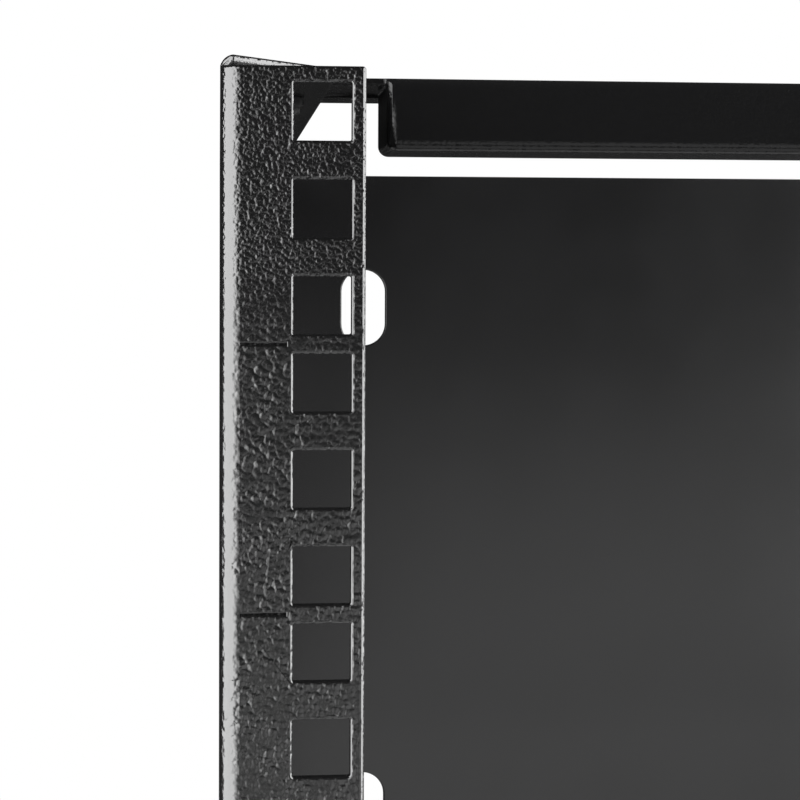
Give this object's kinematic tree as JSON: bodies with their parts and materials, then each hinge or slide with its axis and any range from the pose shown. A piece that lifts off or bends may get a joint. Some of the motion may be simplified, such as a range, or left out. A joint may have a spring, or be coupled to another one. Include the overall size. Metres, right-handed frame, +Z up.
{
  "type": "wall-mount two-post rack",
  "caption": "Open sheet-steel wall rack: bent side frames whose front posts carry square cage-nut holes, joined by cross braces and a slotted wall panel.",
  "frame": {"origin": "middle of the wall panel's back face, which lies on the wall", "axes": "+Y out of the back into the wall, so the posts' faces look along -Y; +Z up; +X to the right as seen from the front"},
  "size_m": [0.4986, 0.305, 0.2762],
  "materials": {
    "textured_paint": "black powder coat with a coarse hammered texture, semi-gloss",
    "panel_paint": "black powder coat with a fine texture, satin",
    "screw_steel": "black oxide, satin"
  },
  "bodies": {
    "root": {"left_side_frame": "textured_paint", "right_side_frame": "textured_paint", "wall_panel": "panel_paint", "top_brace": "textured_paint", "bottom_brace": "textured_paint"}
  },
  "joints": []
}
